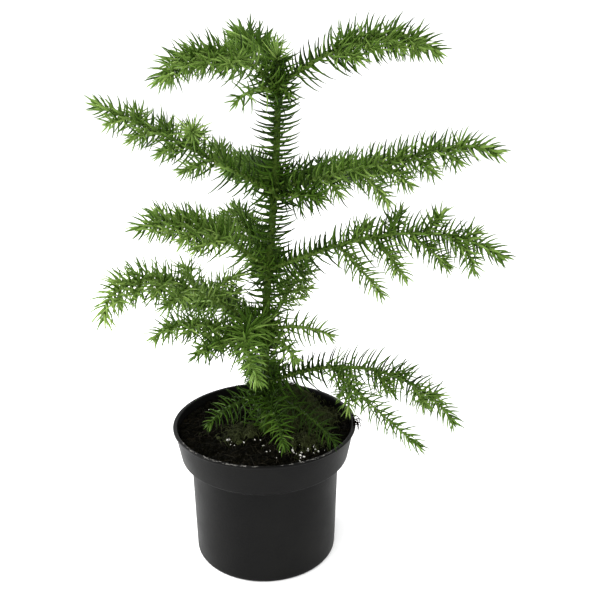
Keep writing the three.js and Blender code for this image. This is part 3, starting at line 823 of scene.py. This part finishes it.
def lip_crumbs():
    """Dark root fibres that lie over the lip: each runs out over it and bends down in an arc."""
    draw = np.random.default_rng(LIP_CRUMB_SEED)
    column = (LIP_CRUMB_COUNT, 1)
    share = np.linspace(0, 1, FIBRE_POINTS)
    start = np.radians(LIP_CRUMB_AZIMUTH + draw.normal(0, LIP_CRUMB_SPREAD, column))
    drift = np.radians(draw.normal(0, LIP_CRUMB_DRIFT, column))
    reach = draw.uniform(*LIP_CRUMB_REACH, column)
    drop = LIP_CRUMB_DROP * draw.uniform(*LIP_CRUMB_DROP_CHANCE, column)
    angle = start + drift * share
    radius = LIP_RADIUS - LIP_CRUMB_INSET + reach * np.sin(np.pi / 2 * share)
    height = POT_HEIGHT + LIP_CRUMB_LIFT + LIP_CRUMB_ARCH * np.sin(np.pi * share) - drop * share ** 2
    radii = draw.uniform(*LIP_CRUMB_RADII, column) * (1 - LIP_CRUMB_TAPER * share)
    return thin_tubes(polar(radius, angle, height), radii)


def moss_clumps():
    """Soft rounded tufts crowded in patches, half sunk in the soil."""
    draw = np.random.default_rng(CLUMP_SEED)
    places = inside(patches(CLUMP_PATCHES, CLUMP_SEED + 1), CLUMP_ROOM)
    size = draw.uniform(*CLUMP_SIZES, len(places))
    return resting_lumps(places, size, CLUMP_STRETCH, CLUMP_LIFT, draw, CLUMP_SEED + 2)


# Stems

class TrunkLine:
    """The trunk's axis: it leans in a straight line and sways by one sine wave over its height."""

    length = TRUNK_TIP_Z - TRUNK_FOOT_Z

    def at(self, distance):
        """Points, the way ahead and the two directions across it, at an array of distances."""
        distance = np.asarray(distance, float)
        share = distance / self.length
        wave = np.sin(TURN * (share - TRUNK_SWAY_PHASE)) + math.sin(TURN * TRUNK_SWAY_PHASE)
        x = TRUNK_FOOT_X + TRUNK_LEAN_X * share + TRUNK_SWAY * wave
        point = np.stack([x, TRUNK_LEAN_Y * share, TRUNK_FOOT_Z + distance], axis=-1)
        level = np.zeros_like(point)
        return point, level + UP, level + (1, 0, 0), level + (0, 1, 0)


class WalkLine:
    """A line that sets out at an azimuth and a pitch, and turns and droops as it goes.

    At a share s of its length the pitch is rise + (droop - rise) * s ** curl and the azimuth is
    azimuth + turn * s. Its points add up equal steps, each along the heading at its middle.
    """

    def __init__(self, start, azimuth, turn, rise, droop, curl, length):
        self.length = length
        self.bends = (azimuth, turn, rise, droop, curl)
        ahead, _ = self.heading((np.arange(WALK_STEPS) + 0.5) / WALK_STEPS)
        steps = np.cumsum(ahead, axis=0) * length / WALK_STEPS
        self.points = np.vstack([start, start + steps])

    def heading(self, share):
        """The way ahead and the level direction across it."""
        azimuth, turn, rise, droop, curl = self.bends
        pitch = np.radians(rise + (droop - rise) * share ** curl)
        yaw = np.radians(azimuth + turn * share)
        ahead = np.stack([np.cos(pitch) * np.cos(yaw), np.cos(pitch) * np.sin(yaw), np.sin(pitch)], axis=-1)
        side = np.stack([-np.sin(yaw), np.cos(yaw), np.zeros_like(yaw)], axis=-1)
        return ahead, side

    def at(self, distance):
        """Points, the way ahead and the two directions across it, at an array of distances."""
        share = np.clip(np.asarray(distance, float) / self.length, 0, 1)
        knots = np.linspace(0, 1, WALK_STEPS + 1)
        point = np.stack([np.interp(share, knots, self.points[:, axis]) for axis in range(3)], axis=-1)
        ahead, side = self.heading(share)
        return point, ahead, side, np.cross(ahead, side)


@dataclass
class Stem:
    """A stretch of a line with its kind, its place in the tree, its freshness with painted shade, and its
    needles' style.
    """

    line: object
    start: float
    end: float
    kind: str
    bough: int
    spray: int
    # Freshness with painted shade: younger needles lighter, low and inner boughs darker as if shaded
    freshness_and_shade: float = 0.0
    style: tuple = COMMON_STYLE
    is_open: bool = False

    def needles_per_mm(self):
        """How close the needles stand along the stem."""
        return NEEDLE_RULES[self.kind][0] * self.style[3]

    def radius(self, distance):
        """Straight taper over the whole line, with a collar at a limb's root, or the trunk's own taper."""
        if self.kind == "trunk":
            return trunk_radius(distance)
        root, tip = STEM_RADII[self.kind]
        taper = root + (tip - root) * distance / self.line.length
        if self.kind == "limb":
            beyond = np.maximum(distance - self.start, 0)
            taper = taper + BOUGH_COLLAR * np.exp(-beyond / BOUGH_COLLAR_FADE)
        return taper


def trunk_radius(distance):
    """Trunk thickness: a flare that dies away up from the foot, a straight taper, and the leader's tip."""
    plain = TrunkLine.length - TRUNK_LEADER
    taper = TRUNK_FOOT_RADIUS + (TRUNK_TOP_RADIUS - TRUNK_FOOT_RADIUS) * np.clip(distance / plain, 0, 1)
    leader = np.clip((distance - plain) / TRUNK_LEADER, 0, 1)
    flare = FLARE_EXTRA * np.exp(-np.maximum(distance, 0) / FLARE_FADE)
    return taper + (TRUNK_TIP_RADIUS - taper) * leader + flare


def side_line(line, share, side, spread, roll, turn, sag, length):
    """A line that leaves another one sideways at a share of its length, curves forward and sags."""
    point, ahead, level, over = line.at(share * line.length)
    roll, spread = math.radians(roll), math.radians(spread)
    across = side * (level * math.cos(roll) + over * math.sin(roll))
    way = ahead * math.cos(spread) + across * math.sin(spread)
    pitch = math.degrees(math.asin(way[2]))
    azimuth = math.degrees(math.atan2(way[1], way[0]))
    return WalkLine(point, azimuth, -side * turn, pitch, pitch - sag, 1, length)


def twig_lines(line, bough, name, index):
    """The twigs of a bough, in staggered pairs that get shorter to its tip, and whether each is open."""
    for pair in range(bough["pairs"]):
        for side in (-1, 1):
            step = (pair + (TWIG_STAGGER if side > 0 else 0)) / (bough["pairs"] - 1 + TWIG_STAGGER)
            share = bough["first"] + (LAST_TWIG - bough["first"]) * step
            longest = bough["left"] if side > 0 else bough["right"]
            shorter = 1 - TWIG_SHORTENING * (share - bough["first"]) / (1 - bough["first"])
            uneven = 1 + TWIG_CHANCE * (chance(index, pair, side + 1) - 0.5)
            usual = (longest * shorter * uneven, TWIG_SPREAD, bough["roll"], bough["sag"])
            key = (name, pair, side)
            length, spread, roll, sag = OWN_TWIGS.get(key, usual)
            twig = side_line(line, share, side, spread, roll, TWIG_FORWARD_TURN, sag, length)
            yield twig, key in OPEN_TWIGS


def shoot_lines(twig, spray):
    """Finer shoots on a long twig, on one side and then the other, shorter towards its tip."""
    shortest, longest = SHOOT_TWIG_LENGTHS
    if not shortest < twig.length < longest:
        return
    for number, share in enumerate(SHOOT_PLACES):
        side = 1 if (number + spray) % 2 else -1
        least, more = SHOOT_LENGTH_CHANCE
        uneven = least + more * chance(spray, number)
        length = twig.length * SHOOT_LENGTH_SHARE * (SHOOT_LENGTH_FADE - share) * uneven
        roll = SHOOT_ROLL * (chance(spray, number, SHOOT_ROLL_SEED) - 0.5)
        yield side_line(twig, share, side, SHOOT_SPREAD, roll, TWIG_FORWARD_TURN, SHOOT_SAG, length)


def is_above_pot(points, room):
    """Whether places stay above the soil inside the pot, and above the lip over its wall."""
    x, y, z = points[..., 0], points[..., 1], points[..., 2]
    out = np.hypot(x, y)
    floor = np.maximum(np.where(out < POT_FOOT_RADIUS, 0, POT_HEIGHT), soil_height(x, y))
    return (out > LIP_RADIUS + room) | (z > floor + room)


def samples(line, start, end):
    """Points every few millimetres along a line."""
    return line.at(np.linspace(start, end, max(FEWEST_SAMPLES, int((end - start) / SAMPLE_STEP))))[0]


def bough_lines(trunk):
    """Each bough's name, number, row of the table and line, which sets out from the trunk's axis."""
    for index, (name, values) in enumerate(BOUGHS.items()):
        bough = dict(zip(BOUGH_COLUMNS, values))
        height = WHORLS[name.split("_")[0]] + bough["lift"]
        foot = trunk.at(height - TRUNK_FOOT_Z)[0]
        bends = [bough[key] for key in ("azimuth", "turn", "rise", "droop", "curl", "length")]
        yield name, index, bough, WalkLine(foot, *bends)


def spray_stems(name, index, bough, line, others, fresh, style):
    """The twigs of a bough that keep clear of the other boughs and the pot, each with its finer shoots."""
    thick, fine = TWIG_RADII[0], SHOOT_RADII[0]
    for number, (twig, is_open) in enumerate(twig_lines(line, bough, name, index)):
        path = samples(twig, 0, twig.length)
        apart = np.linalg.norm(path[:, None] - others[None], axis=-1).min()
        if apart < 2 * thick + GAP or not is_above_pot(path, thick).all():
            continue
        spray = BOUGH_SPRAYS * index + TWIG_SPRAYS * number + 1
        yield Stem(twig, 0, twig.length - TIP_ROOM, "twig", index, spray, fresh, style, is_open)
        for shoot in shoot_lines(twig, spray):
            if is_above_pot(samples(shoot, 0, shoot.length), fine).all():
                yield Stem(shoot, 0, shoot.length - TIP_ROOM / 2, "shoot", index, spray, fresh)


def plan_stems():
    """Every stem of the tree: trunk, limbs, the stems and twigs of each mass, and their finer shoots."""
    trunk = TrunkLine()
    stems = [Stem(trunk, 0, trunk.length, "trunk", -1, 0, is_open=True)]
    rows = list(bough_lines(trunk))
    cores = [(index, samples(line, 0, line.length)) for _, index, _, line in rows]
    for name, index, bough, line in rows:
        split = bough["first"] * line.length - MASS_LEAD if bough["pairs"] else 0
        # The bough's freshness and painted shade
        fresh = BOUGH_FRESHNESS_AND_SHADE.get(name, 0)
        style = NEEDLE_STYLES.get(name, COMMON_STYLE)
        others = np.vstack([core for owner, core in cores if owner != index])
        if bough["pairs"]:
            stems.append(Stem(line, 0, split, "limb", index, 0, fresh))
        stems.append(Stem(line, split, line.length - TIP_ROOM, "stem", index, 0, fresh, style))
        stems.extend(spray_stems(name, index, bough, line, others, fresh, style))
    return stems


def bark_tube(stem, columns, row_step, cushion, buried=0):
    """A closed tube along a stem, raised into cushions on the spiral lattice that its needles stand on.

    Cushion i stands at i needle spacings along the stem, turned by i golden angles. With x in turns and y
    in spacings, a and b count steps of 5 and of 8 cushions, and the height there is the cushion's height
    times (1 + cos 2 pi a) / 2 times (1 + cos 2 pi b) / 2. Fine ridges run along the stem between them.
    """
    start, end = stem.start - buried, stem.end
    rows = max(FEWEST_ROWS, int((end - start) / row_step))
    distance = np.linspace(start, end, rows)
    point, ahead, side, over = stem.line.at(distance)
    turn = np.arange(columns) / columns
    spacing = 1 / stem.needles_per_mm()
    y = ((distance - stem.start) / spacing)[:, None]
    (few, few_turns), (many, many_turns) = SPIRAL_STEPS
    a = (many * GOLDEN_SHARE - many_turns) * y - many * turn
    b = (few_turns - few * GOLDEN_SHARE) * y + few * turn
    bumps = (1 + np.cos(TURN * a)) * (1 + np.cos(TURN * b)) / 4
    waves = [np.sin(TURN * (around * turn + along * y)) for around, along in RIDGE_WAVES]
    ridges = RIDGE_HEIGHT * waves[0] * waves[1]
    radius = stem.radius(distance)[:, None] * (1 + cushion * (bumps + ridges - BARK_SINK))
    angle = TURN * turn[:, None]
    ring = side[:, None] * np.cos(angle) + over[:, None] * np.sin(angle)
    grid = point[:, None] + ring * radius[..., None]
    tip = point[-1] + ahead[-1] * stem.radius(distance[-1:])[0]
    return capped_grid(grid, point[0], tip)


# Needles

@dataclass
class Needles:
    """Needles as arrays: root, the stem's way ahead and the way out, length, lean, incurve, width, shade."""

    root: np.ndarray
    ahead: np.ndarray
    out: np.ndarray
    length: np.ndarray
    lean: np.ndarray
    incurve: np.ndarray
    half_width: np.ndarray
    shade: np.ndarray

    def places(self, share):
        """Points of the needles' middle lines at shares of their length, and the headings there.

        The lean from the way ahead falls from lean by incurve over the length, so the point is the sum
        of that turning heading: a circular arc in the plane of the ways ahead and out.
        """
        lean, incurve, length = self.lean[:, None], self.incurve[:, None], self.length[:, None]
        now = lean - incurve * share
        forward = length * (np.sin(lean) - np.sin(now)) / incurve
        outward = length * (np.cos(now) - np.cos(lean)) / incurve
        point = self.root[:, None] + forward[..., None] * self.ahead[:, None]
        point = point + outward[..., None] * self.out[:, None]
        heading = np.cos(now)[..., None] * self.ahead[:, None] + np.sin(now)[..., None] * self.out[:, None]
        return point, heading

    def chosen(self, mask):
        """Only the needles that a mask keeps."""
        return Needles(*(values[mask] for values in vars(self).values()))


def joined_needles(parts):
    """Needles of several stems as one."""
    names = list(vars(parts[0]))
    return Needles(*(np.concatenate([vars(part)[name] for part in parts]) for name in names))


def place_needles(stem, distance, turn, length, lean, incurve, half_width, shade):
    """Needles whose roots are sunk in a stem at distances along it, standing out at turns round it."""
    point, ahead, side, over = stem.line.at(distance)
    out = side * np.cos(turn)[:, None] + over * np.sin(turn)[:, None]
    root = point + out * (NEEDLE_ROOT_SHARE * stem.radius(distance))[:, None]
    return Needles(root, ahead, out, length, np.radians(lean), np.radians(incurve), half_width, shade)


def stem_needles(stem, seed):
    """A stem's needles on its spiral: shorter, closer to the stem and fresher towards a growing tip.

    Those that stand up or hang down are darker than those at the sides, as painted shade, by the square of
    the Z of their way out. Those under a limb or the older part of a stem are longer and fewer, by how far
    they hang down.
    """
    draw = np.random.default_rng(seed)
    rule = dict(zip(NEEDLE_COLUMNS, NEEDLE_RULES[stem.kind]))
    per_mm = stem.needles_per_mm()
    root_size, tip_size, width, _ = stem.style
    number = np.arange(int((stem.end - stem.start) * per_mm))
    count = len(number)
    distance = stem.start + (number + draw.normal(0, NEEDLE_PLACE_CHANCE, count)) / per_mm
    distance = np.clip(distance, stem.start, stem.end)
    turn = TURN * GOLDEN_SHARE * number + draw.normal(0, NEEDLE_TURN_CHANCE, count)
    grown = 0 if stem.kind in ("trunk", "limb") else 1
    share = grown * (distance - stem.start) / (stem.end - stem.start)
    tip = smoothstep(share, TIP_SHARE, 1)
    size = root_size + (tip_size - root_size) * share
    length = rule["length"] * size * (1 - TIP_SHORTENING * share ** TIP_POWER)
    length = length * draw.normal(1, NEEDLE_CHANCE, count)
    lean = rule["lean"] * (1 - TIP_CLOSING * tip) + draw.normal(0, NEEDLE_LEAN_CHANCE, count)
    length = np.maximum(length, SHORTEST_NEEDLE)
    incurve = rule["incurve"] * draw.uniform(*INCURVE_CHANCE, count)
    half_width = rule["half_width"] * width * draw.uniform(*WIDTH_CHANCE, count)
    spray = SPRAY_SHADE_CHANCE * (chance(stem.bough, stem.spray) - 0.5)
    # Painted shade: darker by the kind of stem towards the crown's inside, and by the bough's freshness and
    # shade
    shade = STEM_SHADES[stem.kind] + stem.freshness_and_shade + spray + TIP_FRESHNESS * share ** 2
    shade = shade + draw.normal(0, SHADE_CHANCE, count)
    needles = place_needles(stem, distance, turn, length, lean, incurve, half_width, shade)
    # Painted shade: needles that stand up or hang down are darker than those at the sides
    needles.shade -= UPRIGHT_PAINTED_SHADE * needles.out[:, 2] ** 2
    if stem.kind in ("limb", "stem"):
        hanging = np.maximum(0, -needles.out[:, 2]) * (1 - share) ** 2
        needles.length *= 1 + UNDERSIDE_LENGTHENING * hanging
        needles = needles.chosen(draw.random(count) > UNDERSIDE_LOSS * hanging)
    return needles


def tip_needles(stem, kind, stem_number):
    """Young needles round a growing tip, in a bud or an open star, the last almost straight ahead."""
    rule = dict(zip(TIP_COLUMNS, TIP_RULES[kind]))
    draw = np.random.default_rng(rule["seed"] + stem_number)
    count = rule["count"]
    number = np.arange(count)
    step = number / (count - 1)
    distance = stem.end - rule["depth"] * (1 - step)
    turn = TURN * GOLDEN_SHARE * number
    lean = rule["lean"] * (rule["first"] - rule["closing"] * step)
    lean = lean + draw.normal(0, rule["lean_chance"], count)
    size = rule["length"] * (SHOOT_BUD_SHARE if stem.kind == "shoot" else 1)
    length = size * draw.uniform(rule["shortest"], rule["longest"], count)
    incurve = np.full(count, TIP_INCURVE)
    half_width = np.full(count, rule["half_width"])
    # Buds take their bough's freshness and painted shade, stars do not
    fresh = stem.freshness_and_shade if kind == "bud" else 0
    shade = rule["shade"] + fresh + draw.normal(0, SHADE_CHANCE, count)
    return place_needles(stem, distance, turn, length, lean, incurve, half_width, shade)


def clear_needles(needles):
    """The needles that stay out of the pot, the soil and the trunk."""
    points, _ = needles.places(NEEDLE_TEST_SHARES)
    above = is_above_pot(points, NEEDLE_ROOM).all(axis=1)
    height = np.clip(points[..., 2] - TRUNK_FOOT_Z, 0, TrunkLine.length)
    axis = TrunkLine().at(height)[0]
    away = np.hypot(points[..., 0] - axis[..., 0], points[..., 1] - axis[..., 1])
    beside = (away > trunk_radius(height)) | (points[..., 2] > TRUNK_TIP_Z)
    return needles.chosen(above & beside.all(axis=1))


def needle_shape(needles):
    """Four-sided awls: at each share of the length a rhombus across the heading, and a point at the tip.

    The rhombus is as wide as the half width times the profile there, and a little thinner than wide.
    """
    count = len(needles.length)
    rings = len(NEEDLE_SHARES)
    middle, heading = needles.places(NEEDLE_SHARES)
    wide = np.cross(needles.ahead, needles.out)[:, None] + 0 * heading
    thick = np.cross(heading, wide)
    half = (needles.half_width[:, None] * NEEDLE_WIDTHS)[..., None]
    corners = np.stack([wide * half, thick * half * NEEDLE_FLATNESS], axis=2)
    ring = middle[:, :, None] + np.concatenate([corners, -corners], axis=2)
    tip, _ = needles.places(np.array([1.0]))
    points = np.concatenate([ring.reshape(count, -1, 3), tip], axis=1)
    stride = 4 * rings + 1
    last = 4 * rings - 4
    point_caps = np.array([[last + i, last + (i + 1) % 4, stride - 1] for i in range(4)])
    quads = np.vstack([wrapped_quads(rings, 4), [[3, 2, 1, 0]]])
    return points.reshape(-1, 3), repeated(quads, count, stride), repeated(point_caps, count, stride)


# The whole plant

def node_names(start):
    """The frame's nodes whose names start so."""
    return [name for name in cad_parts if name.startswith(start)]


def make_pot():
    """The pot and the worn flecks on its lip."""
    add_piece("pot_shell", pot_shape(), table_finish("satin_black_plastic"), "pot", ["pot"])
    add_piece("lip_scuffs", scuffs(), table_finish("worn_plastic"), "pot", ["pot"])


def make_soil():
    """The potting soil with its clods, fibres, moss and white grains."""
    large_grains = perlite(LARGE_GRAINS, LARGE_GRAIN, LARGE_GRAIN_SEED)
    small_grains = perlite(SMALL_GRAINS, SMALL_GRAIN, SMALL_GRAIN_SEED)
    rows = (
        ("soil_bed", soil_shape(), "moist_peat"),
        ("soil_clods_dark", clods(DARK_CLODS), "dark_clods"),
        ("soil_clods_brown", clods(BROWN_CLODS), "brown_clods"),
        ("soil_fibres", fibres(scattered(STRAW_COUNT, STRAW_PLACES_SEED), STRAW), "dry_fibres"),
        ("soil_moss", fibres(patches(MOSS_PATCHES, MOSS_PLACES_SEED), MOSS), "mossy_fibres"),
        ("moss_clumps", moss_clumps(), "mossy_tufts"),
        ("lip_crumbs", lip_crumbs(), "dark_clods"),
        ("perlite_grains", join([large_grains, small_grains]), "perlite"),
    )
    for name, shape, surface in rows:
        add_piece(name, shape, table_finish(surface), "soil", ["soil"])


def bark(stems, rule, buried=0):
    """The bark of several stems as one shape."""
    return join([bark_tube(stem, *BARK_RULES[rule], buried) for stem in stems])


def make_wood(stems):
    """Bark of the trunk, of the limbs, and of the stems and twigs in the masses, darker on the low boughs as
    painted shade.
    """
    trunk = [stem for stem in stems if stem.kind == "trunk"]
    limbs = [stem for stem in stems if stem.kind == "limb"]
    sprays = [stem for stem in stems if stem.kind in SPRAY_KINDS]
    # Painted shade: sprays on the low, darkest boughs get the dark bark
    plain_sprays = [stem for stem in sprays if stem.freshness_and_shade > SHADED_BARK_LIMIT]
    shaded_sprays = [stem for stem in sprays if stem.freshness_and_shade <= SHADED_BARK_LIMIT]
    masses = node_names("foliage_")
    rows = (
        ("trunk_bark", bark(trunk, "trunk", TRUNK_BURIED), "trunk", ["trunk"]),
        ("limb_bark", bark(limbs, "limb"), "bough", node_names("bough_")),
        ("twig_bark", bark(plain_sprays, "spray"), "foliage", masses),
        ("shaded_twig_bark", bark(shaded_sprays, "spray"), "foliage", masses),
    )
    for name, shape, slot, nodes in rows:
        add_piece(name, shape, table_finish(name), slot, nodes)


def make_needles(stems):
    """All needles, dealt out by shade, which holds painted shade too, into pieces of one colour each."""
    tips = [stem for stem in stems if stem.kind in SPRAY_KINDS]
    stars = [(number, stem) for number, stem in enumerate(stems) if stem.is_open]
    grown = [stem_needles(stem, NEEDLE_SEED + number) for number, stem in enumerate(stems)]
    grown += [tip_needles(stem, "bud", number) for number, stem in enumerate(tips)]
    grown += [tip_needles(stem, "star", number) for number, stem in stars]
    needles = clear_needles(joined_needles(grown))
    masses = node_names("foliage_")
    group = np.digitize(needles.shade, SHADE_EDGES)
    for number, (name, shade) in enumerate(SHADES.items()):
        shape = needle_shape(needles.chosen(group == number))
        add_piece(f"needles_{name}", shape, needle_finish(f"{name}_needles", shade), "foliage", masses)


# Studio

def make_floor():
    """A wide pale floor under the pot."""
    half = FLOOR_SIDE / 2
    corners = [(-half, -half, 0), (half, -half, 0), (half, half, 0), (-half, half, 0)]
    mesh = bpy.data.meshes.new("floor")
    mesh.from_pydata(corners, [], [(0, 1, 2, 3)])
    mesh.materials.append(table_finish("pale_floor"))
    put("floor", mesh)


def make_lights():
    """An even white surround, and soft lights that point at the origin."""
    world = bpy.data.worlds.new("pale_surround")
    world.use_nodes = True
    surround = world.node_tree.nodes["Background"]
    surround.inputs["Color"].default_value = (1, 1, 1, 1)
    surround.inputs["Strength"].default_value = WORLD_LIGHT
    bpy.context.scene.world = world
    for name, (place, side, power) in SOFT_LIGHTS.items():
        lamp = bpy.data.lights.new(name, "AREA")
        lamp.size = side
        lamp.energy = power
        light = put(name, lamp)
        light.location = place
        light.rotation_euler = (-light.location).to_track_quat("-Z", "Y").to_euler()


def make_camera():
    """The camera at the photograph's place, which looks along +Y and a little down."""
    view = bpy.data.cameras.new("photo_view")
    view.lens = LENS
    view.sensor_width = SENSOR
    view.clip_start = CLIP_START
    camera = put("photo_view", view)
    camera.location = EYE
    camera.rotation_euler = (math.radians(90 - CAMERA_PITCH), 0, 0)
    bpy.context.scene.camera = camera
    bpy.context.scene.view_settings.view_transform = "Standard"


make_floor()
make_lights()
make_camera()
make_pot()
make_soil()
plant_stems = plan_stems()
make_wood(plant_stems)
make_needles(plant_stems)
